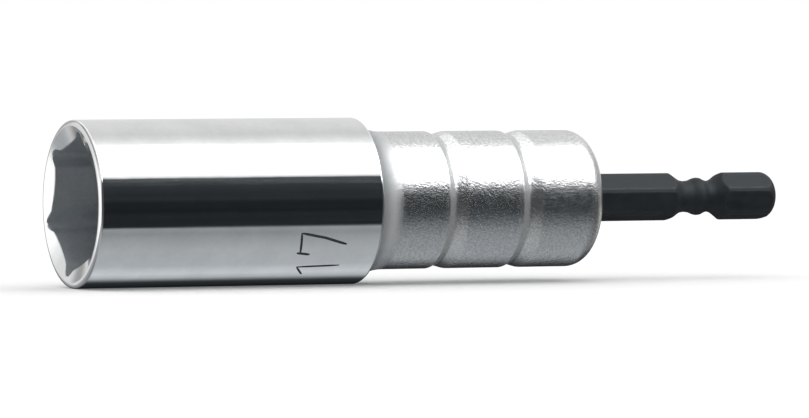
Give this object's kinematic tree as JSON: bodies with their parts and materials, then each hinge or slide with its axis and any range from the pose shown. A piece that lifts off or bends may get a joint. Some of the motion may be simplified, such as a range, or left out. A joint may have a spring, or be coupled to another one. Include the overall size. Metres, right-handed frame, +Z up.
{
  "type": "power driver hex socket",
  "caption": "Deep hex socket on a black hex shank for a power driver, with a free-turning satin guide sleeve and a sprung magnet that holds the nut in the mouth.",
  "frame": {"origin": "middle of the flat end of the hex shank, on the tool axis", "axes": "+X along the tool axis from the mouth to the shank end, +Z up as the tool lies on its side"},
  "size_m": [0.1086, 0.0236, 0.0236],
  "materials": {
    "polished_chrome": "mirror-polished plating",
    "satin_plating": "fine blasted satin plating",
    "black_oxide": "black oxide, slightly oily",
    "turned_steel": "as turned",
    "spring_steel": "drawn wire",
    "sintered_bronze": "oiled sintered bronze",
    "washer_polymer": "natural polymer",
    "dust_rubber": "matt black rubber",
    "magnet_nickel": "nickel plated",
    "collar_brass": "turned brass"
  },
  "bodies": {
    "driver": {"socket_barrel": "polished_chrome", "spindle": "turned_steel", "hex_shank": "black_oxide", "barrel_lock_ring": "spring_steel", "shank_pin": "spring_steel", "front_washer": "washer_polymer", "rear_washer": "washer_polymer", "sleeve_snap_ring": "spring_steel", "front_dust_ring": "dust_rubber", "rear_dust_ring": "dust_rubber", "plunger_spring": "spring_steel", "stop_ring": "spring_steel", "spring_seat": "turned_steel"},
    "sleeve": {"guide_sleeve": "satin_plating", "front_bush": "sintered_bronze", "rear_bush": "sintered_bronze"},
    "plunger": {"plunger_cup": "turned_steel", "magnet": "magnet_nickel", "magnet_collar": "collar_brass"}
  },
  "joints": [
    {"name": "sleeve_spin", "type": "hinge", "parent": "driver", "child": "sleeve", "pos_m": [-0.04797, 0, 0], "axis": [1, 0, 0], "continuous": true},
    {"name": "plunger_slide", "type": "slide", "parent": "driver", "child": "plunger", "axis": [1, 0, 0], "range_m": [0, 0.0236], "stiffness_N_per_m": 220, "springref_m": -0.01, "deforming": ["plunger_spring"]}
  ]
}
